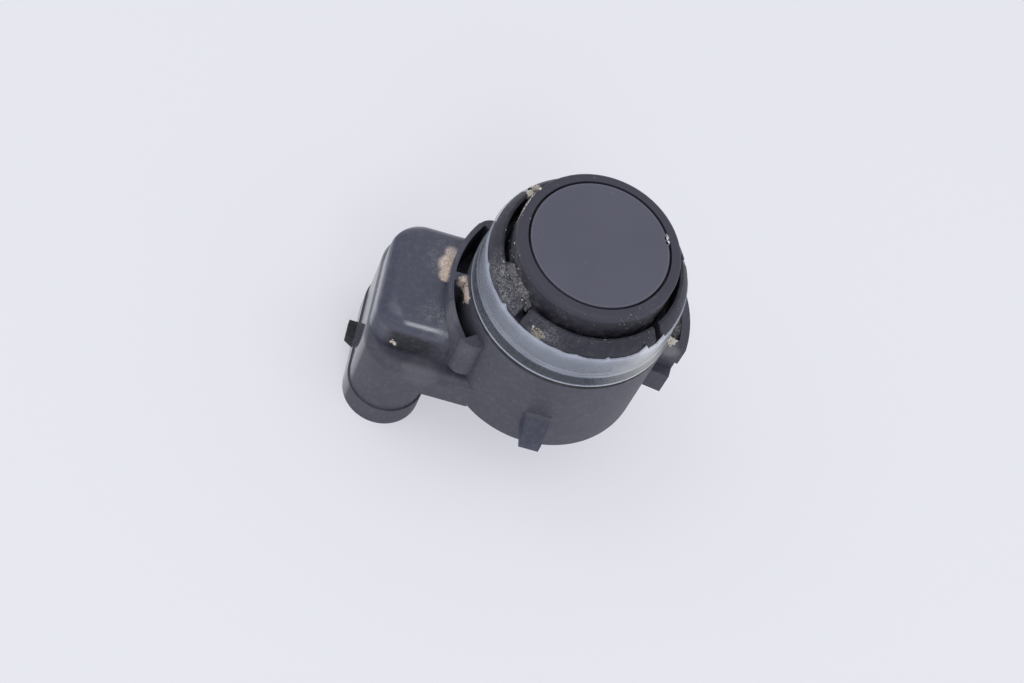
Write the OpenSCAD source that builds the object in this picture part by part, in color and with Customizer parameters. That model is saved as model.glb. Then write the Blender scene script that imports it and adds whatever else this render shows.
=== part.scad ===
// Ultrasonic parking sensor with a plug socket on a side arm. Sizes are in millimetres.
// The origin is on the sensor's axis in the seat plane, where the bumper skin's back face lies.
// +Z points out of the sensing face, and the arm with the plug socket points along -X.
// Depths are measured from the seat plane towards the back.

/* [Transducer cup] */
// Diameter of the sensing face
face_d = 15.5; // [14:0.1:17]
// Height of the sensing face above the seat plane
face_h = 2.9; // [2.2:0.1:3.8]
// Thickness of the sensing face
face_t = 0.7; // [0.5:0.05:1]
// Height of the cup from its face to its open end
cup_h = 9; // [8:0.1:10]
// Thickness of the cup's side wall
cup_wall = 1.2; // [0.9:0.1:1.6]
// Diameter of the piezo disc
piezo_d = 8; // [6.5:0.1:9]
// Thickness of the piezo disc
piezo_t = 0.4; // [0.25:0.05:0.6]
// Thickness of the damping pad behind the piezo disc
pad_t = 3; // [2:0.1:4]

/* [Nose rings] */
// Width of the groove round the sensing face
groove_w = 0.28; // [0.08:0.01:0.4]
// Depth of the groove round the sensing face
groove_h = 0.8; // [0.4:0.1:1.5]
// Radial thickness of the decoupling ring's neck
neck_wall = 1.17; // [1:0.01:1.8]
// Radius of the decoupling ring's front edge
neck_edge = 0.55; // [0.3:0.05:0.8]
// How far the decoupling ring's neck widens at its root
neck_flare = 0.1; // [0.1:0.05:0.4]
// Thickness of the decoupling ring's floor under the cup
floor_t = 1.3; // [0.8:0.1:2]
// Depth of the slot between the neck and the castellated ring
slot_depth = 3.2; // [2.6:0.1:3.8]
// Wall of the housing's nose tube
tube_wall = 0.5; // [0.5:0.05:0.8]
// Wall of the castellated retaining ring
ring_wall = 1.3; // [0.8:0.05:1.5]
// Width of the flat at the retaining ring's front edge
ring_land = 0.4; // [0.1:0.05:0.6]
// Height of the cone on the retaining ring's front
ring_cone = 1.4; // [0.8:0.1:1.8]
// Depth of the retaining ring's back edge
ring_depth = 6.6; // [6:0.1:7]
// Width of each notch in the retaining ring
notch_w = 0.8; // [0.4:0.1:2.4]
// Depth of each notch in the retaining ring
notch_h = 2.1; // [1.6:0.1:2.8]

/* [Sealing ring] */
// Depth of the seal's thin front edge
seal_front = 2.1; // [1.8:0.1:2.4]
// Thickness of the seal's front edge
seal_t = 0.2; // [0.15:0.01:0.35]
// Depth of the line where the seal starts to widen
seal_line = 5.7; // [5:0.1:6.2]
// How far the seal widens down to that line
seal_draft = 0.08; // [0.02:0.01:0.15]
// How far the seal's foot lip stands out from that line
lip_out = 0.27; // [0.15:0.01:0.5]
// Thickness of the seal's foot lip
lip_t = 0.22; // [0.15:0.01:0.35]

/* [Barrel] */
// Depth of the shoulder that carries the seal
shoulder_depth = 7.8; // [7.4:0.1:8.6]
// Depth of the barrel's back edge
barrel_depth = 22.3; // [20.9:0.1:24.4]
// Thickness of the barrel's wall
barrel_wall = 1.5; // [1.3:0.1:1.8]
// Thickness of the wall between the transducer and the electronics
bulkhead_t = 1.7; // [1.2:0.1:2.2]
// Bevel on the barrel's front and back edges
barrel_bevel = 0.3; // [0.1:0.05:0.5]

/* [Guard collar] */
// Width of the cored slot between the barrel and the guard
guard_gap = 1.32; // [1:0.02:1.6]
// Thickness of the guard's wall
guard_wall = 0.6; // [0.5:0.05:1]
// Angle that the guard covers on the arm's side
guard_span = 86; // [70:1:96]
// Angle from the arm to the middle of the guard
guard_turn = 2; // [0:1:8]
// Radius of the guard's round ends
guard_round = 1.9; // [1.2:0.1:1.9]
// Depth of the guard's front edge
guard_depth = 10.1; // [9.2:0.1:11]
// Depth of the guard's back edge
guard_back = 16.6; // [16.4:0.1:17.8]
// Depth of the cored slots below the guard's front edge
guard_core = 6; // [3:0.1:7]
// Width of the rib that bridges the cored slot
guard_rib = 1.1; // [0.7:0.1:2]

/* [Arm and plug socket] */
// Distance from the sensor's axis to the middle of the plug socket
socket_x = 16.4; // [16:0.1:19]
// Thickness of the plug shroud along the arm
shroud_t = 8.8; // [8:0.1:10]
// Width of the plug shroud across the arm
shroud_w = 18.6; // [17:0.1:20]
// Wall of the plug shroud
shroud_wall = 1.2; // [0.9:0.05:1.5]
// Depth of the socket's mouth
mouth_depth = 31.3; // [29.9:0.1:34.4]
// Depth of the socket from its mouth to its floor
socket_depth = 10; // [9:0.1:11]
// Height of the collar round the socket's mouth
collar_h = 3.2; // [2.4:0.1:4]
// How far the mouth collar stands out
collar_out = 0.2; // [0.1:0.05:0.6]
// Depth of the arm's top face
arm_depth = 12.5; // [11.4:0.1:13.9]
// Width of the arm's upper block
arm_w = 14.6; // [12.5:0.1:15.5]
// How far the upper block is set back from the shroud's outer face
arm_setback = 0.2; // [0:0.1:1]
// Radius of the upper block's upright corners
arm_corner = 3.8; // [2.5:0.1:4.5]
// Radius of the upper block's top edges
arm_edge = 2.2; // [1:0.1:2.8]
// Depth of the ledge beside the upper block
ledge_depth = 18.1; // [17.9:0.1:18.9]
// Radius of the ledge's edges
ledge_edge = 1.3; // [0.4:0.1:2]
// How far the latch nose stands out from the mouth collar
latch_out = 1.1; // [0.6:0.1:1.6]
// Width of the latch nose
latch_w = 2.3; // [1.5:0.1:3]
// Height of the latch nose
latch_h = 2.2; // [1.2:0.1:2.8]

/* [Bracket lugs] */
// How far the side lugs stand out from the barrel
lug_out = 2.9; // [1.5:0.1:3.5]
// Width of a side lug at the barrel
lug_w = 3.2; // [2.4:0.1:4.5]
// Width of a side lug at its tip
lug_tip_w = 2.3; // [1.5:0.1:3]
// Depth where a side lug's ramp leaves the barrel
lug_depth = 15.4; // [13.4:0.1:16.4]
// Length of a side lug's ramp along the axis
lug_ramp = 1.7; // [0.6:0.1:2.5]
// Height of a side lug's tip
lug_tip_h = 1.3; // [0.6:0.1:2]
// How far the rear catch stands out from the barrel
catch_out = 2.45; // [2:0.05:3.2]
// Angle that the rear catch covers
catch_span = 38; // [24:1:50]
// Angle from the arm's plane to the middle of the rear catch
catch_turn = 11; // [0:1:16]
// Depth of the rear catch's front face
catch_depth = 9.7; // [8.9:0.1:10.9]
// Thickness of the rear catch's outer wall and end walls
catch_wall = 1; // [0.7:0.05:1.3]
// Depth of the cored slot in the rear catch
catch_core = 2.4; // [1:0.1:2.6]
// Height of the rear catch above its end notch
catch_front_h = 3.1; // [2.9:0.1:4.5]
// Height of the notch in the rear catch's end
catch_notch_h = 3.2; // [1.5:0.1:4]
// How far that notch is cut into the rear catch's end
catch_notch = 1.2; // [0.6:0.1:2]
// Height of the rear catch below its end notch
catch_back_h = 3.6; // [1.5:0.1:4]

/* [Electronics] */
// Depth of the circuit board's front face
board_depth = 14.2; // [12.9:0.1:14.9]
// Thickness of the circuit board
board_t = 1; // [0.8:0.1:1.6]
// Width of the ledge that the circuit board seats on
board_ledge = 0.7; // [0.4:0.05:1]
// Thickness of the rear cover
cover_t = 1.6; // [1.2:0.1:2]
// Width of the ledge that the rear cover seats on
cover_ledge = 0.4; // [0.3:0.05:0.6]
// Wall of the rim on the rear cover that holds the board
cover_rim = 0.7; // [0.5:0.05:1]
// Thickness of a terminal's square wire
pin_t = 0.64; // [0.5:0.02:0.8]
// Spacing of the terminals
pin_pitch = 3.8; // [3:0.1:4.2]
// Free length of a terminal in the socket
pin_l = 5.6; // [4:0.1:5.8]
// Length of the taper at a terminal's tip
pin_taper = 0.7; // [0.3:0.1:1.2]
// Clearance between the circuit board and the terminals' run to the socket
run_clear = 1.2; // [0.8:0.1:1.8]
// Distance from the sensor's axis to the terminals' solder holes
leg_x = 7.4; // [6.8:0.1:8]
// How far a terminal's leg stands out of the board
leg_out = 0.5; // [0.2:0.1:1]
// Diameter of the transducer's lead wires
lead_d = 0.4; // [0.3:0.05:0.6]
// Diameter of the transformer
coil_d = 5.6; // [4.5:0.1:6]
// Height of the transformer
coil_h = 4; // [3:0.1:4.4]
// Thickness of the transformer core's two flanges
flange_t = 0.7; // [0.4:0.1:1]
// Diameter of the transformer core's middle post
post_d = 2.2; // [1.6:0.1:3]
// Side of the square control chip
chip_s = 5; // [4:0.1:5.4]
// Thickness of the control chip
chip_t = 0.9; // [0.7:0.1:1.2]

/* [Hidden] */
$fn = 96;
fit_gap = 0.05; // radial clearance of round pieces that seat in each other
over = 0.5; // how far a cut runs past the face that it opens
sink = 0.6; // how far an added form reaches into the barrel's wall
notch_turns = [20, 140, 234, 323]; // angles of the notches in the retaining ring
hair = 0.06; // how far a round end stays inside the faces that it continues
floor_lip = 0.6; // how far the soft ring's floor reaches in under the cup's filler

// The radii follow from the sensing face outwards.
face_r = face_d / 2;
cup_in_r = face_r - cup_wall;
filler_r = cup_in_r - fit_gap;
cup_back = cup_h - face_h;
neck_in_r = face_r + groove_w;
neck_r = neck_in_r + neck_wall;
root_r = neck_r + neck_flare;
tube_in_r = root_r + fit_gap;
tube_r = tube_in_r + tube_wall;
ring_in_r = tube_r + fit_gap;
ring_r = ring_in_r + ring_wall;
seal_in_r = ring_r + fit_gap;
seal_line_r = seal_in_r + seal_t + seal_draft;
barrel_r = seal_line_r + lip_out;
bore_r = barrel_r - barrel_wall;
front_bore_r = bore_r - board_ledge;
cover_bore_r = bore_r + cover_ledge;
guard_in_r = barrel_r + guard_gap;
guard_r = guard_in_r + guard_wall;
guard_middle = 180 + guard_turn;
guard_end_r = guard_r - guard_round - hair;
guard_half = guard_span / 2 - angle_of(guard_round, barrel_r);
catch_r = barrel_r + catch_out;

// Depths of the inner floors
ring_floor = cup_back + floor_t;
bulkhead_back = ring_floor + bulkhead_t;
board_back = board_depth + board_t;
run_depth = board_back + run_clear;
cover_front = barrel_depth - cover_t;
pad_front = face_h - face_t - piezo_t;
pad_back = pad_front - pad_t;
lead_hole_r = cup_in_r - floor_lip;

// The two lead wires: one meets the piezo disc, the other meets the cup beside it.
signal_x = 1.6;
ground_x = (piezo_d / 2 + cup_in_r) / 2;
lead_clear = 0.1;

// Arm and socket
socket_floor = mouth_depth - socket_depth;
shroud_r = shroud_t / 2;
arm_face = socket_x + shroud_r - arm_setback;
shelf_end = sqrt(barrel_r * barrel_r - shroud_w * shroud_w / 4);
collar_face = socket_x + shroud_r + collar_out;
pin_tip = socket_floor + pin_l;
pin_clear = 0.03;

// Room in the rear cover's rim for the terminals
rim_clear = 0.6;

// Small parts on the board's back: place, then size
part_gap = 0.3;
chip_at = [-2.2, 4.3];
coil_at = [4.2, -1.2];
tank_at = [-2.4, -3.4];
tank_size = [3.6, 2.8, 1.9];
small_cap_size = [1.6, 0.8, 0.8];
small_cap_x = [4.6, 2.4];
first_cap_y = coil_at.y - coil_d / 2 - part_gap - small_cap_size.y / 2;
small_cap_y = [first_cap_y, first_cap_y - small_cap_size.y - part_gap];
diode_size = [2.6, 1.6, 1.1];
diode_at = [small_cap_x[1] - (small_cap_size.x + diode_size.x) / 2 - part_gap,
    small_cap_y[1] - diode_size.y / 2];
resistor_size = [1, 0.5, 0.35];
resistor_pitch = 1.1;
resistor_count = 5;
resistor_at = [2.8, 3.1];

// A cylinder between two depths
module round_bar(r, front, back) {
    translate([0, 0, -back]) cylinder(r = r, h = back - front);
}

// A tube between two depths
module round_tube(r_out, r_in, front, back) {
    difference() {
        round_bar(r_out, front, back);
        round_bar(r_in, front - over, back + over);
    }
}

// An outline with round ends, long along Y
module stadium(thickness, width) {
    square([thickness, width - thickness], center = true);
    for (side = [-1, 1])
        translate([0, side * (width - thickness) / 2]) circle(d = thickness);
}

// A rectangle with round upper corners
module arch(width, height, edge) {
    translate([-width / 2, 0]) square([width, height - edge]);
    translate([edge - width / 2, 0]) square([width - 2 * edge, height]);
    for (side = [-1, 1])
        translate([side * (width / 2 - edge), height - edge]) circle(r = edge);
}

// The section of a round post whose front edge is round
module post_section(r, height, edge) {
    square([r, height - edge]);
    square([r - edge, height]);
    translate([r - edge, height - edge]) intersection() {
        circle(r = edge);
        square(edge);
    }
}

// A block along -X with round upright corners and a round front edge
module soft_arm(reach, root, width, front, back, corner, edge) {
    height = back - front;
    middle = reach - corner;
    translate([-middle, 0, -back]) {
        rotate([90, 0, 90]) linear_extrude(middle - root) arch(width, height, edge);
        rotate([90, 0, 0])
            linear_extrude(width - 2 * corner, center = true) arch(2 * corner, height, edge);
        for (side = [-1, 1])
            translate([0, side * (width / 2 - corner), 0])
                rotate_extrude() post_section(corner, height, edge);
    }
}

// A sector of a ring between two depths and two angles
module ring_sector(r_in, r_out, front, back, from, to) {
    rotate([0, 0, from])
        rotate_extrude(angle = to - from)
            translate([r_in, -back]) square([r_out - r_in, back - front]);
}

// The angle that a width takes up at a radius
function angle_of(width, r) = width / r * 180 / PI;

// Drawn metal cup whose closed end is the sensing face
module membrane_cup() {
    color("dimgray") difference() {
        round_bar(face_r, -face_h, cup_back);
        round_bar(cup_in_r, face_t - face_h, cup_back + over);
    }
}

// Piezo disc bonded to the back of the sensing face
module piezo_disc() {
    color("silver") round_bar(piezo_d / 2, face_t - face_h, -pad_front);
}

// Holes for the two lead wires
module lead_holes(front, back) {
    for (x = [signal_x, ground_x])
        translate([x, 0, 0]) round_bar(lead_d / 2 + lead_clear, front - over, back + over);
}

// Foam pad that damps the piezo disc
module damping_pad() {
    color("tan") difference() {
        round_bar(filler_r, -pad_front, -pad_back);
        lead_holes(-pad_front, -pad_back);
    }
}

// Silicone that closes the cup
module cup_filler() {
    color("gainsboro") difference() {
        round_bar(filler_r, -pad_back, cup_back);
        lead_holes(-pad_back, cup_back);
    }
}

// Soft ring that holds the cup and keeps its vibration out of the housing
module decoupling_ring() {
    color([0.13, 0.13, 0.14]) difference() {
        rotate_extrude() {
            translate([0, -ring_floor]) square([root_r, ring_floor - slot_depth]);
            polygon([[0, -slot_depth], [root_r, -slot_depth], [neck_r, 0], [0, 0]]);
            square([neck_r, face_h - neck_edge]);
            square([neck_r - neck_edge, face_h]);
            translate([neck_r - neck_edge, face_h - neck_edge]) circle(r = neck_edge);
        }
        round_bar(face_r + fit_gap, -face_h - over, cup_back);
        round_bar(neck_in_r, -face_h - over, groove_h - face_h);
        round_bar(lead_hole_r, 0, ring_floor + over);
    }
}

// Castellated ring that clips the nose together
module retaining_ring() {
    color([0.1, 0.1, 0.11]) difference() {
        rotate_extrude() polygon([
            [ring_in_r, 0],
            [ring_in_r + ring_land, 0],
            [ring_r, -ring_cone],
            [ring_r, -ring_depth],
            [ring_in_r, -ring_depth],
        ]);
        for (turn = notch_turns)
            rotate([0, 0, turn])
                translate([ring_in_r - over, -notch_w / 2, -notch_h])
                    cube([ring_wall + 2 * over, notch_w, notch_h + over]);
    }
}

// Translucent silicone seal round the nose
module sealing_ring() {
    color([0.62, 0.67, 0.72, 0.6]) rotate_extrude() polygon([
        [seal_in_r, -seal_front],
        [seal_in_r + seal_t, -seal_front],
        [seal_line_r, -seal_line],
        [barrel_r, barrel_bevel + lip_t - shoulder_depth],
        [barrel_r, barrel_bevel - shoulder_depth],
        [barrel_r - barrel_bevel, -shoulder_depth],
        [tube_r + fit_gap, -shoulder_depth],
        [tube_r + fit_gap, -ring_depth],
        [seal_in_r, -ring_depth],
    ]);
}

// Barrel with its bevelled edges and the nose tube, before it is hollowed
module barrel_outside() {
    rotate_extrude() polygon([
        [0, -slot_depth],
        [tube_r, -slot_depth],
        [tube_r, -shoulder_depth],
        [barrel_r - barrel_bevel, -shoulder_depth],
        [barrel_r, -shoulder_depth - barrel_bevel],
        [barrel_r, barrel_bevel - barrel_depth],
        [barrel_r - barrel_bevel, -barrel_depth],
        [0, -barrel_depth],
    ]);
}

// Stepped bore from the nose to the back
module barrel_bore() {
    round_bar(tube_in_r, -over, ring_floor);
    round_bar(lead_hole_r, 0, bulkhead_back + over);
    round_bar(front_bore_r, bulkhead_back, board_depth + over);
    round_bar(bore_r, board_depth, cover_front + over);
    round_bar(cover_bore_r, cover_front, barrel_depth + over);
}

// Collar with round ends that guards the seal on the arm's side
module guard_collar() {
    ring_sector(barrel_r - sink, guard_r, guard_depth, guard_back,
        guard_middle - guard_half, guard_middle + guard_half);
    for (side = [-1, 1])
        rotate([0, 0, guard_middle + side * guard_half])
            translate([guard_end_r, 0, 0])
                round_bar(guard_round, guard_depth + hair, guard_back - hair);
}

// The two cored slots behind the guard, on both sides of its rib
module guard_cores() {
    end = guard_half + angle_of(guard_wall / 2, guard_r);
    rib = angle_of(guard_rib / 2, guard_r);
    for (range = [[-end, -rib], [rib, end]])
        ring_sector(bore_r, guard_in_r, guard_depth - over, guard_depth + guard_core,
            guard_middle + range[0], guard_middle + range[1]);
}

// Lower arm with a round end, which carries the plug shroud
module lower_arm() {
    soft_arm(socket_x + shroud_r, shelf_end, shroud_w, ledge_depth, barrel_depth, shroud_r, ledge_edge);
}

// Plug shroud with its mouth collar
module plug_shroud() {
    translate([-socket_x, 0, -mouth_depth]) {
        linear_extrude(mouth_depth - barrel_depth + over) stadium(shroud_t, shroud_w);
        linear_extrude(collar_h) stadium(shroud_t + 2 * collar_out, shroud_w + 2 * collar_out);
    }
}

// Room for the plug inside the shroud
module socket_room() {
    inside = 2 * shroud_wall;
    translate([-socket_x, 0, -mouth_depth - over])
        linear_extrude(socket_depth + over) stadium(shroud_t - inside, shroud_w - inside);
}

// Nose on the mouth collar that a plug's latch snaps over
module latch_nose() {
    root = collar_out + sink;
    translate([-collar_face, latch_w / 2, collar_h - mouth_depth])
        rotate([90, 0, 0])
            linear_extrude(latch_w)
                polygon([[root, 0], [-latch_out, 0], [-latch_out, -latch_h / 2], [0, -latch_h],
                    [root, -latch_h]]);
}

// Ramped lug that a bracket's window snaps over
module side_lug() {
    tip = barrel_r + lug_out;
    tip_depth = lug_depth + lug_ramp;
    lug_back = tip_depth + lug_tip_h;
    intersection() {
        translate([0, 0, -lug_back])
            linear_extrude(lug_back - lug_depth)
                polygon([[bore_r + sink, -lug_w / 2], [tip, -lug_tip_w / 2], [tip, lug_tip_w / 2],
                    [bore_r + sink, lug_w / 2]]);
        rotate([90, 0, 0])
            linear_extrude(lug_w, center = true)
                polygon([[bore_r, -lug_depth], [barrel_r, -lug_depth], [tip, -tip_depth], [tip, -lug_back],
                    [bore_r, -lug_back]]);
    }
}

// Bracket catch opposite the arm, with a cored slot in front and a notch in one end
module rear_catch() {
    from = catch_turn - catch_span / 2;
    to = catch_turn + catch_span / 2;
    wall = angle_of(catch_wall, catch_r);
    notch_front = catch_depth + catch_front_h;
    notch_back = notch_front + catch_notch_h;
    difference() {
        ring_sector(barrel_r - sink, catch_r, catch_depth, notch_back + catch_back_h, from, to);
        ring_sector(bore_r, catch_r - catch_wall, catch_depth - over, catch_depth + catch_core,
            from + wall, to - wall);
        ring_sector(bore_r, catch_r + over, notch_front, notch_back,
            from - angle_of(over, catch_r), from + angle_of(catch_notch, catch_r));
    }
}

// Channels that the terminals are moulded into
module terminal_channels() {
    wide = pin_t + 2 * pin_clear;
    for (step = [-1, 0, 1])
        translate([-socket_x - wide / 2, step * pin_pitch - wide / 2, -run_depth - pin_t - pin_clear]) {
            cube([socket_x - leg_x, wide, wide]);
            translate([0, 0, run_depth - socket_floor - over])
                cube([wide, wide, socket_floor - run_depth + over]);
        }
}

// One moulding: nose tube, barrel, guard, arm, plug shroud and bracket lugs
module housing() {
    color([0.17, 0.17, 0.19]) difference() {
        union() {
            difference() {
                union() {
                    guard_collar();
                    soft_arm(arm_face, 0, arm_w, arm_depth, barrel_depth, arm_corner, arm_edge);
                }
                guard_cores();
            }
            barrel_outside();
            lower_arm();
            plug_shroud();
            latch_nose();
            rotate([0, 0, 90]) side_lug();
            rotate([0, 0, -90]) side_lug();
            rear_catch();
        }
        barrel_bore();
        socket_room();
        terminal_channels();
    }
}

// Cover that closes the barrel, with a rim that holds the board on its ledge
module rear_cover() {
    rim_r = bore_r - fit_gap;
    color([0.2, 0.2, 0.22]) difference() {
        union() {
            round_bar(cover_bore_r - fit_gap, cover_front, barrel_depth);
            round_tube(rim_r, rim_r - cover_rim, board_back, cover_front + over);
        }
        translate([-barrel_r, -pin_pitch - pin_t - rim_clear, -run_depth - pin_t - rim_clear])
            cube([barrel_r, 2 * (pin_pitch + pin_t + rim_clear), run_depth]);
    }
}

// Round board with holes for the terminals' legs
module circuit_board() {
    color("darkgreen") difference() {
        round_bar(bore_r - fit_gap, board_depth, board_back);
        for (step = [-1, 0, 1])
            translate([-leg_x, step * pin_pitch, 0])
                round_bar(pin_t * sqrt(2) / 2 + pin_clear, board_depth - over, board_back + over);
    }
}

// A block on the back of the board
module board_block(at, size) {
    translate([at.x - size.x / 2, at.y - size.y / 2, -board_back - size.z]) cube(size);
}

module control_chip() {
    color([0.08, 0.08, 0.08]) board_block(chip_at, [chip_s, chip_s, chip_t]);
}

// Drum core: two flanges on a post
module transformer_core() {
    color([0.25, 0.24, 0.24]) translate([coil_at.x, coil_at.y, -board_back]) {
        round_bar(coil_d / 2, 0, flange_t);
        round_bar(post_d / 2, 0, coil_h);
        round_bar(coil_d / 2, coil_h - flange_t, coil_h);
    }
}

// Copper winding between the core's flanges
module transformer_winding() {
    color("peru") translate([coil_at.x, coil_at.y, -board_back])
        round_tube(coil_d / 2 - fit_gap, post_d / 2 + fit_gap, flange_t, coil_h - flange_t);
}

module reservoir_capacitor() {
    color("goldenrod") board_block(tank_at, tank_size);
}

module protection_diode() {
    color([0.12, 0.12, 0.13]) board_block(diode_at, diode_size);
}

module chip_capacitors() {
    color("burlywood")
        for (x = small_cap_x, y = small_cap_y) board_block([x, y], small_cap_size);
}

module chip_resistors() {
    color([0.1, 0.1, 0.12])
        for (i = [0 : resistor_count - 1])
            board_block(resistor_at + [0, i * resistor_pitch], resistor_size);
}

// Lead wire from a depth at the transducer to the board
module lead_wire(x, front) {
    color("sienna") translate([x, 0, 0]) round_bar(lead_d / 2, front, board_depth);
}

// Bent square wire: solder leg, run through the arm, pin in the socket
module terminal(step) {
    half = pin_t / 2;
    tip_half = half / 3;
    color("gold") translate([0, step * pin_pitch, 0])
        rotate([90, 0, 0])
            linear_extrude(pin_t, center = true)
                polygon([
                    [half - leg_x, leg_out - board_depth],
                    [-half - leg_x, leg_out - board_depth],
                    [-half - leg_x, -run_depth],
                    [-half - socket_x, -run_depth],
                    [-half - socket_x, pin_taper - pin_tip],
                    [-tip_half - socket_x, -pin_tip],
                    [tip_half - socket_x, -pin_tip],
                    [half - socket_x, pin_taper - pin_tip],
                    [half - socket_x, -run_depth - pin_t],
                    [half - leg_x, -run_depth - pin_t],
                ]);
}

membrane_cup();
piezo_disc();
damping_pad();
cup_filler();
decoupling_ring();
retaining_ring();
sealing_ring();
housing();
rear_cover();
circuit_board();
control_chip();
transformer_core();
transformer_winding();
reservoir_capacitor();
protection_diode();
chip_capacitors();
chip_resistors();
lead_wire(signal_x, -pad_front);  // piezo_lead_signal
lead_wire(ground_x, face_t - face_h);  // piezo_lead_ground
terminal(-1);  // terminal_supply
terminal(0);  // terminal_signal
terminal(1);  // terminal_ground
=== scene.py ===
"""Dress the parking sensor as it was photographed: used and dusty, with a torn seal, on a pale floor."""

import math
import random

import bmesh
import bpy
from mathutils import Color, Euler, Matrix, Vector, noise
from mathutils.bvhtree import BVHTree

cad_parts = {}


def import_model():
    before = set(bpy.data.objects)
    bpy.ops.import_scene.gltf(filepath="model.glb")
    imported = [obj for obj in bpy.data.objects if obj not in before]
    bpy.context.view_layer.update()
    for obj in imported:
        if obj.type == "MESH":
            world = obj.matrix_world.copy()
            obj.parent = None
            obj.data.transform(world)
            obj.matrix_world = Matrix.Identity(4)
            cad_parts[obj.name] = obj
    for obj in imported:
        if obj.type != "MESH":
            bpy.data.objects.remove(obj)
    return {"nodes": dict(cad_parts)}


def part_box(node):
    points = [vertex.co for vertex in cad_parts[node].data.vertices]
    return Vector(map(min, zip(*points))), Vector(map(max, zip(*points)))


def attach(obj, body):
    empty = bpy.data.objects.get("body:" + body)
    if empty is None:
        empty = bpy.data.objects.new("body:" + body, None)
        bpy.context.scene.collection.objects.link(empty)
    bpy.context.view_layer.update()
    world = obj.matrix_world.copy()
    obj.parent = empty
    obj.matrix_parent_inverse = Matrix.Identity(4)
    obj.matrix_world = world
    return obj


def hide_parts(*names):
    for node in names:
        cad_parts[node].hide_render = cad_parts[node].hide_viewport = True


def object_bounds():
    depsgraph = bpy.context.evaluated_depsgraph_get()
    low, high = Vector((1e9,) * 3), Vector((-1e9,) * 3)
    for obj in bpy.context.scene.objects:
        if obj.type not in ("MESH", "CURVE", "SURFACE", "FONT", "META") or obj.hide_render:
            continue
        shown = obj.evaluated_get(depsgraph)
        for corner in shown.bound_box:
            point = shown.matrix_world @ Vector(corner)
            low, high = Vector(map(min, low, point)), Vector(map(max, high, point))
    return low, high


MM = 0.001

# The photograph's size in pixels, and the camera that sees the part as the photograph does
PHOTO_W = 1024
PHOTO_H = 683
FOCAL_PX = 2300
SENSOR_W_MM = 36.0
CLIP_START_M = 0.01
CLIP_END_M = 10
CAMERA_PLACE = Vector((-38.38, -138.97, 203.66)) * MM
CAMERA_RIGHT = Vector((0.954, 0.1658, 0.2498))
CAMERA_BACK = Vector((-0.1301, -0.5215, 0.8433))

# Sockets of the colour Mix node
MIX_FACTOR = 0
MIX_A = 6
MIX_B = 7
MIX_RESULT = 2


def colour(red, green, blue):
    """A screen colour, each channel from 0 to 255, as linear light."""
    screen = Color((red, green, blue)) / 255
    return (*screen.from_srgb_to_scene_linear(), 1.0)


# Camera, and the surface points that its pixels show

def camera_axes():
    """The camera's right, up and back directions, square to each other."""
    back = CAMERA_BACK.normalized()
    right = (CAMERA_RIGHT - back * CAMERA_RIGHT.dot(back)).normalized()
    return right, back.cross(right), back


def make_camera():
    data = bpy.data.cameras.new("camera")
    data.sensor_width = SENSOR_W_MM
    data.lens = FOCAL_PX / PHOTO_W * SENSOR_W_MM
    data.clip_start = CLIP_START_M
    data.clip_end = CLIP_END_M
    camera = bpy.data.objects.new("camera", data)
    bpy.context.scene.collection.objects.link(camera)
    camera.matrix_world = Matrix.Translation(CAMERA_PLACE) @ Matrix(camera_axes()).transposed().to_4x4()
    bpy.context.scene.camera = camera


def pixel_ray(pixel):
    """The direction from the camera through a pixel."""
    right, up, back = camera_axes()
    across = (pixel[0] - PHOTO_W / 2) / FOCAL_PX
    down = (pixel[1] - PHOTO_H / 2) / FOCAL_PX
    return (right * across - up * down - back).normalized()


class Surface:
    """The CAD nodes' outside, searched along the camera's rays."""

    def __init__(self, nodes):
        points = []
        faces = []
        for node in nodes.values():
            start = len(points)
            points.extend(vertex.co.copy() for vertex in node.data.vertices)
            faces.extend([start + index for index in face.vertices] for face in node.data.polygons)
        self.tree = BVHTree.FromPolygons(points, faces)
        self.top = max(point.z for point in points)

    def under(self, pixel):
        """The place and normal that a pixel shows, or None beside the part."""
        place, normal, _, _ = self.tree.ray_cast(CAMERA_PLACE, pixel_ray(pixel))
        return None if place is None else (place, normal)


def turn_under(pixel, height):
    """The angle about the sensor's axis of the point that a pixel shows at a height."""
    ray = pixel_ray(pixel)
    place = CAMERA_PLACE + ray * ((height - CAMERA_PLACE.z) / ray.z)
    return math.atan2(place.y, place.x)


# Materials

DUST = colour(156, 156, 160)
SAND = colour(234, 217, 204)
DARK_SAND = colour(202, 183, 170)

# Patches that break up dust and smears: size in mm, and the noise at which a patch starts and is full
DUST_SPECKLE = (0.2, 0.4, 0.62)
DUST_CLOUD = (0.9, 0.32, 0.62)
SMEAR_CLOUD = (0.5, 0.1, 0.4)

# Share of a smear's radius over which it fades, share of a speck's radius that is solid, detail of patches
SMEAR_FADE = 0.5
SPECK_CORE = 0.6
PATCH_DETAIL = 4


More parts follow.
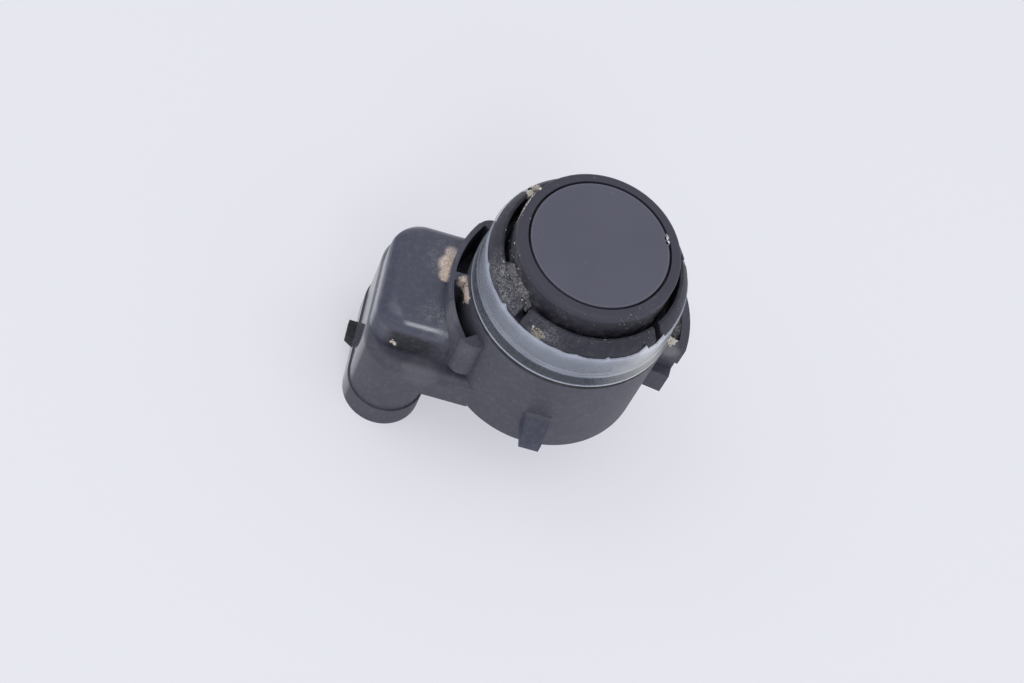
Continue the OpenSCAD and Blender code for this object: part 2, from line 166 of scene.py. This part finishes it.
class Finish:
    """A material with one Principled shader, and the masks that vary its colour over the part."""

    def __init__(self, name, base, roughness):
        self.material = bpy.data.materials.new(name)
        self.material.use_nodes = True
        self.tree = self.material.node_tree
        self.shader = self.tree.nodes["Principled BSDF"]
        self.shader.inputs["Base Color"].default_value = base
        self.shader.inputs["Roughness"].default_value = roughness
        self.base = base
        self.place = self.node("ShaderNodeTexCoord").outputs["Object"]

    def node(self, kind, **settings):
        """A new shader node."""
        made = self.tree.nodes.new(kind)
        for key, value in settings.items():
            setattr(made, key, value)
        return made

    def link(self, source, target):
        self.tree.links.new(source, target)

    def ramp(self, value, low, high):
        """A value stretched so that low becomes 0 and high becomes 1."""
        made = self.node("ShaderNodeMapRange")
        made.inputs["From Min"].default_value = low
        made.inputs["From Max"].default_value = high
        self.link(value, made.inputs["Value"])
        return made.outputs["Result"]

    def patches(self, size_mm, low, high):
        """Soft irregular patches of about a size."""
        made = self.node("ShaderNodeTexNoise")
        made.inputs["Scale"].default_value = 1 / (size_mm * MM)
        made.inputs["Detail"].default_value = PATCH_DETAIL
        self.link(self.place, made.inputs["Vector"])
        return self.ramp(made.outputs["Fac"], low, high)

    def specks(self, spacing_mm, radius):
        """Small round specks, their radius a share of their spacing."""
        made = self.node("ShaderNodeTexVoronoi")
        made.inputs["Scale"].default_value = 1 / (spacing_mm * MM)
        self.link(self.place, made.inputs["Vector"])
        return self.ramp(made.outputs["Distance"], radius, radius * SPECK_CORE)

    def axis(self, name, low_mm, high_mm):
        """0 to 1 between two places along an axis."""
        made = self.node("ShaderNodeSeparateXYZ")
        self.link(self.place, made.inputs["Vector"])
        return self.ramp(made.outputs[name], low_mm * MM, high_mm * MM)

    def bands(self, stops):
        """A value that changes with height: (height in mm, value), from the lowest up."""
        low, high = stops[0][0], stops[-1][0]
        made = self.node("ShaderNodeValToRGB")
        self.link(self.axis("Z", low, high), made.inputs["Fac"])
        marks = made.color_ramp.elements
        for height, _ in stops[1:-1]:
            marks.new((height - low) / (high - low))
        for mark, (height, value) in zip(marks, stops):
            mark.position = (height - low) / (high - low)
            mark.color = (value, value, value, 1)
        return made.outputs["Color"]

    def distance(self, place):
        """The distance from a place."""
        made = self.node("ShaderNodeVectorMath", operation="DISTANCE")
        made.inputs[1].default_value = place
        self.link(self.place, made.inputs[0])
        return made.outputs["Value"]

    def near(self, place, radius_mm):
        """1 at a place, fading to 0 at a radius."""
        return self.ramp(self.distance(place), radius_mm * MM, 0)

    def math(self, operation, first, second):
        """Two masks or numbers combined, and kept between 0 and 1."""
        made = self.node("ShaderNodeMath", operation=operation, use_clamp=True)
        for socket, value in zip(made.inputs, (first, second)):
            if isinstance(value, (int, float)):
                socket.default_value = value
            else:
                self.link(value, socket)
        return made.outputs["Value"]

    def times(self, *values):
        """The product of masks and numbers."""
        product = values[0]
        for value in values[1:]:
            product = self.math("MULTIPLY", product, value)
        return product

    def paint(self, mask, over, strength=1.0):
        """Lay a colour over what is there, where the mask is 1."""
        socket = self.shader.inputs["Base Color"]
        mix = self.node("ShaderNodeMix", data_type="RGBA")
        mix.inputs[MIX_A].default_value = self.base
        mix.inputs[MIX_B].default_value = over
        if socket.is_linked:
            self.link(socket.links[0].from_socket, mix.inputs[MIX_A])
        self.link(self.times(mask, strength), mix.inputs[MIX_FACTOR])
        self.link(mix.outputs[MIX_RESULT], socket)

    def dust(self, surface, spots):
        """Speckled dust round the places under some pixels: (pixel, radius in mm, strength)."""
        speckle = self.patches(*DUST_SPECKLE)
        cloud = self.patches(*DUST_CLOUD)
        for pixel, radius_mm, strength in spots:
            place, _ = surface.under(pixel)
            self.paint(self.times(self.near(place, radius_mm), speckle, cloud), DUST, strength)

    def smear(self, surface, spots, over):
        """A colour rubbed on round the places under some pixels: (pixel, radius in mm, strength)."""
        cloud = self.patches(*SMEAR_CLOUD)
        for pixel, radius_mm, strength in spots:
            place, _ = surface.under(pixel)
            smear = self.ramp(self.near(place, radius_mm), 0, SMEAR_FADE)
            self.paint(self.times(smear, cloud), over, strength)

    def vary(self, socket, mask, full):
        """Change a value of the shader from its own to another one, where the mask is 1."""
        made = self.node("ShaderNodeMapRange")
        made.inputs["To Min"].default_value = self.shader.inputs[socket].default_value
        made.inputs["To Max"].default_value = full
        self.link(mask, made.inputs["Value"])
        self.link(made.outputs["Result"], self.shader.inputs[socket])

    def grain(self, size_mm, depth_mm):
        """Fine moulded grain."""
        texture = self.node("ShaderNodeTexNoise")
        texture.inputs["Scale"].default_value = 1 / (size_mm * MM)
        self.link(self.place, texture.inputs["Vector"])
        bump = self.node("ShaderNodeBump")
        bump.inputs["Distance"].default_value = depth_mm * MM
        self.link(texture.outputs["Fac"], bump.inputs["Height"])
        self.link(bump.outputs["Normal"], self.shader.inputs["Normal"])


# Dusty spots: pixel, radius in mm, strength
NECK_DUST = [
    ((512, 268), 3.5, 0.75),
    ((530, 298), 2.5, 0.35),
    ((562, 316), 2.5, 0.2),
    ((650, 318), 3.5, 0.35),
]
RING_DUST = [
    ((500, 275), 3.5, 1.0),
    ((510, 298), 2.5, 0.9),
    ((545, 335), 3.0, 0.5),
]
HOUSING_DUST = [
    ((449, 262), 3.2, 0.9),
    ((446, 318), 3.6, 0.7),
    ((466, 352), 2.0, 0.3),
    ((660, 350), 3.5, 0.7),
]

# Dusty and sandy smears: pixel, radius in mm, strength
DUST_SMEARS = [
    ((668, 350), 1.6, 0.5),
    ((450, 318), 2.0, 0.25),
    ((420, 372), 2.5, 0.12),
]
SAND_SMEARS = [
    ((452, 253), 1.0, 0.6),
    ((448, 264), 1.3, 0.9),
    ((446, 275), 1.0, 0.8),
    ((465, 284), 1.1, 0.9),
    ((467, 295), 1.1, 0.8),
]

# The face's glossy edge: the face's middle, and the radii at which the gloss starts and is full
FACE_MIDDLE = Vector((0, 0, 2.9)) * MM
FACE_MATT_R_MM = 7.5
FACE_GLOSS_R_MM = 7.62

# Heights in mm at which the soft ring's painted lit top and its dusty foot start and are full
NECK_LIT_TOP_Z_MM = (1.8, 2.3)
NECK_FOOT_Z_MM = (1.4, -1.2)

# Places in mm at which the housing's looks start to change and have changed: the arm's colour and gloss, and
# the painted shade on the arm's near wall, the latch, the near lug and the barrel's front under the seal
ARM_X_MM = (-11, -14)
ARM_Z_MM = (-18, -17.4)
ARM_TOP_X_MM = (-19.8, -18.0)
SHADED_NEAR_WALL_Y_MM = (-6.6, -7.2)
SHADED_NEAR_WALL_Z_MM = (-13.6, -14.4)
END_WALL_X_MM = (-20.2, -20.5)
SHADED_LATCH_X_MM = (-21.03, -21.1)
SHADED_LUG_Y_MM = (-12.0, -12.4)
SHADED_BARREL_FRONT_Z_MM = (-8.15, -8.05)

# Gloss of the arm's top, as a share of the end wall's
ARM_TOP_GLOSS = 0.85


def face_finish():
    finish = Finish("sensing_face", colour(83, 83, 98), roughness=0.55)
    finish.paint(finish.patches(size_mm=5, low=0.35, high=0.75), colour(87, 87, 102))
    specks = finish.specks(spacing_mm=1.5, radius=0.045)
    finish.paint(finish.times(specks, finish.patches(size_mm=2, low=0.5, high=0.55)), DUST, strength=0.7)
    edge = finish.ramp(finish.distance(FACE_MIDDLE), FACE_MATT_R_MM * MM, FACE_GLOSS_R_MM * MM)
    finish.vary("Roughness", edge, full=0.2)
    finish.vary("Specular IOR Level", edge, full=1.0)
    finish.grain(size_mm=0.12, depth_mm=0.004)
    return finish.material


def neck_finish(surface):
    finish = Finish("soft_ring", colour(33, 31, 44), roughness=0.6)
    finish.paint(finish.patches(size_mm=2.5, low=0.4, high=0.75), colour(42, 41, 52))
    # Painted light: the soft ring's top is lighter than its wall.
    finish.paint(finish.axis("Z", *NECK_LIT_TOP_Z_MM), colour(59, 58, 72))
    film = finish.patches(size_mm=0.9, low=0.42, high=0.66)
    finish.paint(finish.times(finish.axis("Z", *NECK_FOOT_Z_MM), film), DUST, strength=0.15)
    finish.dust(surface, NECK_DUST)
    specks = finish.specks(spacing_mm=0.9, radius=0.1)
    finish.paint(finish.times(specks, finish.patches(size_mm=3, low=0.5, high=0.6)), DUST)
    finish.grain(size_mm=0.2, depth_mm=0.012)
    return finish.material


def ring_finish(surface):
    finish = Finish("clip_ring", colour(37, 37, 51), roughness=0.55)
    finish.paint(finish.patches(size_mm=0.8, low=0.45, high=0.7), DUST, strength=0.05)
    finish.dust(surface, RING_DUST)
    specks = finish.specks(spacing_mm=0.8, radius=0.1)
    finish.paint(finish.times(specks, finish.patches(size_mm=2, low=0.46, high=0.6)), DUST)
    finish.grain(size_mm=0.2, depth_mm=0.01)
    return finish.material


def housing_finish(surface):
    """Dark plastic, glossier and darker on the arm with a bluer tint there that is a painted reflection of
    the sky, and painted shade on the arm's near wall, its latch, the near lug and the barrel's front under
    the seal.
    """
    finish = Finish("housing_plastic", colour(68, 69, 81), roughness=0.55)
    finish.paint(finish.patches(size_mm=3, low=0.4, high=0.75), colour(74, 75, 87))
    arm = finish.times(finish.axis("X", *ARM_X_MM), finish.axis("Z", *ARM_Z_MM))
    shaded_near_wall = finish.times(arm, finish.axis("Y", *SHADED_NEAR_WALL_Y_MM), finish.axis("Z", *SHADED_NEAR_WALL_Z_MM))
    end_wall = finish.axis("X", *END_WALL_X_MM)
    shaded_latch = finish.axis("X", *SHADED_LATCH_X_MM)
    # The arm's darker colour, with a bluer tint that is a painted reflection of the sky.
    finish.paint(arm, colour(62, 65, 85))
    # Painted shade: the arm's near wall is darkened below its glossy edge.
    finish.paint(shaded_near_wall, colour(25, 25, 34))
    # Painted shade: the latch's nose is darkened.
    finish.paint(shaded_latch, colour(36, 36, 42))
    # Painted shade: the near lug is darkened.
    finish.paint(finish.axis("Y", *SHADED_LUG_Y_MM), colour(54, 57, 77))
    # Painted shade: the housing is darkened from under the seal's overhanging foot upward.
    finish.paint(finish.axis("Z", *SHADED_BARREL_FRONT_Z_MM), colour(34, 34, 41))
    finish.paint(finish.patches(size_mm=0.6, low=0.48, high=0.7), DUST, strength=0.08)
    finish.dust(surface, HOUSING_DUST)
    finish.smear(surface, SAND_SMEARS, SAND)
    finish.smear(surface, DUST_SMEARS, DUST)
    specks = finish.specks(spacing_mm=1.1, radius=0.06)
    finish.paint(finish.times(specks, finish.patches(size_mm=4, low=0.48, high=0.6)), DUST)
    arm_top = finish.times(finish.math("SUBTRACT", arm, shaded_near_wall), finish.axis("X", *ARM_TOP_X_MM))
    bare_end = finish.math("SUBTRACT", end_wall, shaded_latch)
    glossy = finish.math("MAXIMUM", finish.times(arm_top, ARM_TOP_GLOSS), bare_end)
    finish.vary("Roughness", glossy, full=0.15)
    finish.vary("Specular IOR Level", glossy, full=1.0)
    finish.grain(size_mm=0.18, depth_mm=0.005)
    return finish.material


# How much of the seal's silicone hides what is behind it, from its foot up: height in mm, share
SEAL_COVER = [
    (-7.8, 0.15),
    (-7.55, 0.75),
    (-7.3, 0.7),
    (-7.15, 0.12),
    (-6.0, 0.12),
    (-5.8, 0.45),
    (-5.55, 0.4),
    (-5.2, 0.24),
    (-3.4, 0.28),
    (-2.5, 0.44),
    (-2.1, 0.7),
]

# The seal's rubbed, whiter side and its torn edge there: pixel at the middle, and radius
RUBBED_SEAL = (648, 362)
RUBBED_SEAL_R_MM = 7
TORN_SEAL = (650, 349)
TORN_SEAL_R_MM = 3

# How much more of the silicone shows at these places, and how much of it comes and goes in clouds
SEAL_WHITER = 0.4
SEAL_CLOUD = 0.3
SEAL_IOR = 1.41


def seal_finish(surface):
    """Milky silicone with a clearer band at its foot, and a bright lip."""
    finish = Finish("seal_silicone", colour(204, 211, 228), roughness=0.3)
    rubbed = finish.near(surface.under(RUBBED_SEAL)[0], RUBBED_SEAL_R_MM)
    torn = finish.near(surface.under(TORN_SEAL)[0], TORN_SEAL_R_MM)
    finish.paint(rubbed, colour(226, 226, 224))
    whiter = finish.math("ADD", finish.times(rubbed, SEAL_WHITER), finish.times(torn, SEAL_WHITER))
    patches = finish.patches(size_mm=3, low=0.3, high=0.7)
    cloud = finish.math("ADD", finish.times(patches, SEAL_CLOUD), 1 - SEAL_CLOUD)
    cover = finish.math("ADD", finish.times(finish.bands(SEAL_COVER), cloud), whiter)
    finish.link(cover, finish.shader.inputs["Alpha"])
    finish.shader.inputs["IOR"].default_value = SEAL_IOR
    return finish.material


def plain(name, base, roughness, metallic=0.0):
    finish = Finish(name, base, roughness)
    finish.shader.inputs["Metallic"].default_value = metallic
    return finish.material


def dress_nodes(nodes, surface):
    """Give each CAD node its finish, apart from the seal, which is made anew."""
    housing = housing_finish(surface)
    chip = plain("chip_plastic", colour(32, 32, 34), 0.45)
    tin = plain("tinned_wire", colour(190, 188, 180), 0.32, 1.0)
    finishes = {
        "membrane_cup": face_finish(),
        "decoupling_ring": neck_finish(surface),
        "retaining_ring": ring_finish(surface),
        "housing": housing,
        "rear_cover": housing,
        "piezo_disc": plain("piezo_ceramic", colour(205, 200, 186), 0.4),
        "damping_pad": plain("foam", colour(178, 165, 140), 0.9),
        "cup_filler": plain("filler_silicone", colour(215, 215, 210), 0.5),
        "circuit_board": plain("solder_resist", colour(20, 92, 48), 0.35),
        "control_chip": chip,
        "protection_diode": chip,
        "chip_resistors": chip,
        "transformer_core": plain("ferrite", colour(62, 60, 60), 0.5),
        "transformer_winding": plain("copper_wire", colour(190, 110, 70), 0.35, 1.0),
        "reservoir_capacitor": plain("tantalum", colour(210, 160, 50), 0.4),
        "chip_capacitors": plain("tan_ceramic", colour(170, 135, 100), 0.5),
        "piezo_lead_signal": tin,
        "piezo_lead_ground": tin,
        "terminal_supply": tin,
        "terminal_signal": tin,
        "terminal_ground": tin,
    }
    for name, material in finishes.items():
        nodes[name].data.materials.clear()
        nodes[name].data.materials.append(material)


# Rounded edges: the radius for each node, the sharpness from which an edge is rounded, and how near to each
# other the points of a mesh's open seam are joined first
EDGE_RADIUS_MM = {"membrane_cup": 0.2, "retaining_ring": 0.1}
EDGE_SEGMENTS = 4
EDGE_ANGLE = math.radians(40)
SEAM_MM = 0.001


def soften_edges(nodes):
    """Round the sharp edges of the nose's pieces a little."""
    for name, radius_mm in EDGE_RADIUS_MM.items():
        seams = nodes[name].modifiers.new("joined_seams", "WELD")
        seams.merge_threshold = SEAM_MM * MM
        bevel = nodes[name].modifiers.new("soft_edges", "BEVEL")
        bevel.width = radius_mm * MM
        bevel.segments = EDGE_SEGMENTS
        bevel.limit_method = "ANGLE"
        bevel.angle_limit = EDGE_ANGLE


# Pieces made here

def add_piece(name, points, faces, material):
    """A piece of the part from points and faces."""
    mesh = bpy.data.meshes.new(name)
    mesh.from_pydata(points, [], faces)
    mesh.materials.append(material)
    mesh.shade_smooth()
    piece = bpy.data.objects.new(name, mesh)
    bpy.context.scene.collection.objects.link(piece)
    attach(piece, "root")
    return piece


# The torn tips of the seal's front edge: pixel, height in mm, half width in degrees
TORN_TIPS = [
    ((491, 266), 0.5, 3.0),
    ((506, 306), 0.55, 2.5),
    ((607, 357), 0.5, 1.6),
    ((643, 350), 1.2, 3.5),
    ((660, 340), 1.3, 3.5),
    ((575, 355), 0.2, 4.0),
]

# The seal's section: its foot's bore, bevel and outer rim, its gap to the retaining ring, its thin wall's
# thickness at the front edge and how much that grows to the line where the wall meets the foot
SEAL_BORE_R_MM = 9.9
SEAL_BEVEL_MM = 0.3
SEAL_RIM_MM = 0.22
SEAL_FIT_MM = 0.05
SEAL_WALL_MM = 0.2
SEAL_DRAFT_MM = 0.08
SEAL_LINE_Z_MM = -5.7

# The seal's mesh: steps round the axis, rows down the wall, and the angle from which an edge is sharp
SEAL_STEPS = 720
SEAL_WALL_ROWS = 6
SEAL_SHARP_ANGLE = math.radians(35)

# Waves of the seal's ragged front edge and of its wall: size in mm, and how often they change
EDGE_WAVES = [(0.12, 9), (0.05, 40)]
WALL_WAVES = [(0.06, 5)]


def outward(turn):
    """The direction away from the sensor's axis at an angle."""
    return Vector((math.cos(turn), math.sin(turn), 0))


def waves_at(place, waves):
    """Noise at a place, summed over waves of a size that change so often."""
    return sum(size * noise.noise(place * often) for size, often in waves)


def revolve(turns, section_at, closed):
    """Points and faces of a section carried round the axis, given as radii and heights in mm at a turn."""
    points = []
    for turn in turns:
        section = section_at(turn)
        points.extend((r * MM * math.cos(turn), r * MM * math.sin(turn), z * MM) for r, z in section)
    rows = len(section)
    faces = []
    for step in range(len(turns) if closed else len(turns) - 1):
        here = step * rows
        after = (step + 1) % len(turns) * rows
        for row in range(rows):
            beside = (row + 1) % rows
            faces.append((here + row, here + beside, after + beside, after + row))
    if not closed:
        faces.append(tuple(reversed(range(rows))))
        faces.append(tuple(range(len(points) - rows, len(points))))
    return points, faces


def edge_height(turn, front, tips):
    """Height of the seal's ragged front edge at an angle."""
    height = front + waves_at(outward(turn), EDGE_WAVES)
    for middle, rise, half in tips:
        apart = abs(math.remainder(turn - middle, 2 * math.pi)) / math.radians(half)
        height += rise * max(0.0, 1 - apart)
    return height


def make_seal(surface):
    """The seal with its torn front edge, in the place of the plain one."""
    low, high = (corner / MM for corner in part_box("sealing_ring"))
    ring_low, ring_high = (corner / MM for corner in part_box("retaining_ring"))
    inner = ring_high.x + SEAL_FIT_MM
    rim = low.z + SEAL_BEVEL_MM
    tips = [(turn_under(pixel, high.z * MM), rise, half) for pixel, rise, half in TORN_TIPS]

    def section_at(turn):
        edge = edge_height(turn, high.z, tips)
        sway = waves_at(outward(turn), WALL_WAVES)
        section = [(SEAL_BORE_R_MM, low.z), (SEAL_BORE_R_MM, ring_low.z), (inner, ring_low.z), (inner, edge)]
        for row in range(SEAL_WALL_ROWS + 1):
            share = row / SEAL_WALL_ROWS
            radius = inner + SEAL_WALL_MM + sway * (1 - share) + SEAL_DRAFT_MM * share
            section.append((radius, edge + (SEAL_LINE_Z_MM - edge) * share))
        section.append((high.x, rim + SEAL_RIM_MM))
        section.append((high.x, rim))
        section.append((high.x - SEAL_BEVEL_MM, low.z))
        return section

    turns = [2 * math.pi * step / SEAL_STEPS for step in range(SEAL_STEPS)]
    points, faces = revolve(turns, section_at, True)
    seal = add_piece("torn_seal", points, faces, seal_finish(surface))
    seal.data.set_sharp_from_angle(angle=SEAL_SHARP_ANGLE)
    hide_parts("sealing_ring")


# Dirt packed in the slot between the neck and the ring, and in the rear catch's slot: the pixels or the
# angles at its ends, its two radii, the heights of its top at these, and the height of its foot
NOSE_DIRT_ENDS = ((504, 256), (524, 309))
NOSE_DIRT_RADII_MM = (9.15, 10.0)
NOSE_DIRT_TOPS_MM = (0.3, 0.0)
NOSE_DIRT_FOOT_MM = -1.6
CATCH_DIRT_TURNS = (math.radians(-4.5), math.radians(26.5))
CATCH_DIRT_RADII_MM = (11.75, 13.3)
CATCH_DIRT_TOPS_MM = (-10.3, -10.0)
CATCH_DIRT_FOOT_MM = -12.15

# The dirt's mesh, how far it dips at its ends and over which angle, and the waves of its rough top
DIRT_STEPS = 200
DIRT_ROWS = 10
DIRT_DIP_MM = 1.4
DIRT_TAPER = math.radians(7)
DIRT_WAVES = [(0.16, 1.3), (0.07, 6)]


def packed_dirt(name, ends, radii, tops, foot, material):
    """Dirt that fills a round slot between two turns and two radii, lower at its ends."""
    first, last = ends

    def section_at(turn):
        dip = DIRT_DIP_MM * max(0.0, 1 - min(turn - first, last - turn) / DIRT_TAPER)
        section = [(radii[0], foot)]
        for row in range(DIRT_ROWS + 1):
            share = row / DIRT_ROWS
            radius = radii[0] + (radii[1] - radii[0]) * share
            rough = waves_at(outward(turn) * radius, DIRT_WAVES)
            section.append((radius, tops[0] + (tops[1] - tops[0]) * share + rough - dip))
        section.append((radii[1], foot))
        return section

    turns = [first + (last - first) * step / (DIRT_STEPS - 1) for step in range(DIRT_STEPS)]
    points, faces = revolve(turns, section_at, False)
    add_piece(name, points, faces, material)


def make_slot_dirt():
    finish = Finish("packed_dirt", colour(98, 97, 102), roughness=0.95)
    finish.paint(finish.patches(size_mm=0.9, low=0.45, high=0.65), colour(74, 73, 79))
    finish.paint(finish.patches(size_mm=0.25, low=0.45, high=0.62), colour(138, 136, 136))
    nose_ends = [turn_under(pixel, 0) % (2 * math.pi) for pixel in NOSE_DIRT_ENDS]
    packed_dirt("dirt_in_nose_slot", nose_ends, NOSE_DIRT_RADII_MM, NOSE_DIRT_TOPS_MM, NOSE_DIRT_FOOT_MM,
                finish.material)
    packed_dirt("dirt_in_catch", CATCH_DIRT_TURNS, CATCH_DIRT_RADII_MM, CATCH_DIRT_TOPS_MM,
                CATCH_DIRT_FOOT_MM, finish.material)


# Grains: name, ends of the stroke of pixels that they lie along, how far they stray from it in pixels,
# count, smallest and largest size in mm, finish, seed
GRAINS = [
    ("sand_on_arm", ((449, 254), (445, 279)), 1.7, 300, (0.1, 0.3), "sand", 1),
    ("sand_in_slot", ((463, 279), (467, 301)), 1.5, 300, (0.1, 0.3), "sand", 2),
    ("dirt_on_catch", ((668, 340), (674, 342)), 1.6, 50, (0.2, 0.45), "pale_dirt", 3),
    ("dirt_in_notch", ((529, 194), (537, 187)), 1.5, 70, (0.2, 0.45), "pale_dirt", 4),
    ("chip_at_groove", ((667, 236), (668, 244)), 0.6, 26, (0.25, 0.5), "white_chip", 5),
    # Pale grains at the ledge's corner stand in for a glint there: a painted highlight.
    ("glint_grains_at_ledge", ((392, 341), (395, 345)), 1.0, 14, (0.18, 0.35), "pale_dirt", 6),
    ("dirt_on_ring", ((534, 332), (544, 338)), 2.0, 70, (0.1, 0.26), "clay", 7),
    ("line_on_neck_far", ((537, 190), (527, 204)), 0.3, 70, (0.05, 0.11), "pale_dirt", 12),
    ("line_on_neck_near", ((527, 204), (513, 228)), 0.3, 90, (0.05, 0.11), "pale_dirt", 13),
    ("specks_on_neck_left", ((509, 240), (532, 312)), 5, 24, (0.08, 0.2), "pale_dirt", 14),
    ("specks_on_neck_right", ((596, 330), (656, 318)), 6, 22, (0.05, 0.12), "pale_dirt", 15),
    ("dust_on_ring", ((496, 265), (520, 305)), 5, 120, (0.06, 0.18), "dust_grain", 8),
    ("dust_on_front", ((545, 335), (655, 335)), 8, 55, (0.05, 0.13), "dust_grain", 9),
    ("dust_on_barrel", ((470, 345), (600, 400)), 16, 40, (0.05, 0.12), "dust_grain", 10),
    ("dust_on_arm", ((405, 260), (440, 330)), 14, 40, (0.05, 0.13), "dust_grain", 11),
]

# A grain's widths and height as shares of its size, and how rough it is and how often that changes
GRAIN_WIDTH = (0.7, 1.3)
GRAIN_HEIGHT = (0.25, 0.5)
GRAIN_ROUGH = 0.5
GRAIN_ROUGH_OFTEN = 1.7


def unit_lump():
    """A round mesh as points and faces."""
    form = bmesh.new()
    bmesh.ops.create_icosphere(form, subdivisions=2, radius=1)
    form.verts.ensure_lookup_table()
    points = [vertex.co.copy() for vertex in form.verts]
    faces = [[vertex.index for vertex in face.verts] for face in form.faces]
    form.free()
    return points, faces


def make_grains(name, surface, stroke, spread_px, count, sizes_mm, material, seed):
    """Irregular grains that sit on the surface along a stroke of pixels."""
    draw = random.Random(seed)
    lump, lump_faces = unit_lump()
    start, end = (Vector(pixel) for pixel in stroke)
    points = []
    faces = []
    for number in range(count):
        pixel = start.lerp(end, draw.random())
        pixel += Vector((draw.gauss(0, spread_px), draw.gauss(0, spread_px)))
        size = draw.uniform(*sizes_mm) * MM
        squash = Vector([draw.uniform(*shares) for shares in (GRAIN_WIDTH, GRAIN_WIDTH, GRAIN_HEIGHT)])
        spin = draw.uniform(0, 2 * math.pi)
        hit = surface.under(pixel)
        if hit is None:
            continue
        place, normal = hit
        stand = normal.to_track_quat("Z", "Y").to_matrix() @ Euler((0, 0, spin)).to_matrix()
        first = len(points)
        for point in lump:
            rough = 1 + GRAIN_ROUGH * noise.noise(point * GRAIN_ROUGH_OFTEN + Vector((number, seed, 0)))
            at = place + stand @ (point * squash * rough) * (size / 2)
            at.z = min(at.z, surface.top)
            points.append(at)
        faces.extend([first + index for index in face] for face in lump_faces)
    add_piece(name, points, faces, material)


def sand_finish():
    finish = Finish("sand", SAND, roughness=0.9)
    finish.paint(finish.patches(size_mm=0.3, low=0.4, high=0.62), DARK_SAND)
    return finish.material


def make_dirt(surface):
    finishes = {
        "sand": sand_finish(),
        "pale_dirt": plain("pale_dirt", colour(210, 202, 190), 0.85),
        "clay": plain("clay", colour(150, 144, 128), 0.9),
        "white_chip": plain("white_chip", colour(240, 240, 238), 0.7),
        "dust_grain": plain("dust_grain", colour(112, 110, 107), 0.9),
    }
    for name, stroke, spread_px, count, sizes_mm, finish, seed in GRAINS:
        make_grains(name, surface, stroke, spread_px, count, sizes_mm, finishes[finish], seed)


# Floor and light

FLOOR_SIZE_M = 3.0
FLOOR_COLOUR = colour(247, 247, 250)
FLOOR_GLOW_COLOUR = colour(229, 230, 239)
FLOOR_GLOW = 0.55
SKY_COLOUR = (0.96, 0.97, 1.0, 1.0)
SKY_STRENGTH = 0.6
LAMP_COLOUR = (0.95, 0.97, 1.0)
LAMP_DISTANCE_M = 0.6

# Lamps: name, direction to it, size in metres, power in watts
LAMPS = [
    ("window_left", (-0.65, 0.05, 1.0), 0.5, 0.62),
    ("window_right", (0.65, 0.0, 1.0), 0.5, 0.5),
    ("window_front", (0.12, -0.7, 0.72), 0.22, 0.65),
]


def floor_finish():
    """Pale paper that shows part of its colour by itself, to the eye alone, so that shadows stay faint."""
    finish = Finish("floor_paper", FLOOR_COLOUR, roughness=0.9)
    glow = finish.node("ShaderNodeEmission")
    glow.inputs["Color"].default_value = FLOOR_GLOW_COLOUR
    path = finish.node("ShaderNodeLightPath")
    seen = finish.math("ADD", path.outputs["Is Camera Ray"], path.outputs["Is Glossy Ray"])
    seen = finish.math("ADD", seen, path.outputs["Is Transmission Ray"])
    mix = finish.node("ShaderNodeMixShader")
    finish.link(finish.times(seen, FLOOR_GLOW), mix.inputs["Fac"])
    finish.link(finish.shader.outputs["BSDF"], mix.inputs[1])
    finish.link(glow.outputs["Emission"], mix.inputs[2])
    finish.link(mix.outputs["Shader"], finish.tree.nodes["Material Output"].inputs["Surface"])
    return finish.material


def make_floor(height):
    bpy.ops.mesh.primitive_plane_add(size=FLOOR_SIZE_M, location=(0, 0, height))
    floor = bpy.context.object
    floor.name = "floor"
    floor.data.materials.append(floor_finish())


def make_light():
    """A pale even sky, two soft lamps above the part's sides, and a smaller one in front."""
    world = bpy.data.worlds.new("sky")
    world.use_nodes = True
    sky = world.node_tree.nodes["Background"]
    sky.inputs["Color"].default_value = SKY_COLOUR
    sky.inputs["Strength"].default_value = SKY_STRENGTH
    bpy.context.scene.world = world
    for name, direction, size, power in LAMPS:
        toward = Vector(direction).normalized()
        data = bpy.data.lights.new(name, "AREA")
        data.size = size
        data.energy = power
        data.color = LAMP_COLOUR
        lamp = bpy.data.objects.new(name, data)
        bpy.context.scene.collection.objects.link(lamp)
        lamp.location = toward * LAMP_DISTANCE_M
        lamp.rotation_mode = "QUATERNION"
        lamp.rotation_quaternion = toward.to_track_quat("Z", "Y")


def main():
    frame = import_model()
    cad_box = [list(corner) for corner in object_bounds()]
    bpy.context.scene.view_settings.view_transform = "Standard"
    make_camera()
    surface = Surface(frame["nodes"])
    dress_nodes(frame["nodes"], surface)
    soften_edges(frame["nodes"])
    make_seal(surface)
    make_slot_dirt()
    make_dirt(surface)
    make_floor(cad_box[0][2])
    make_light()


main()
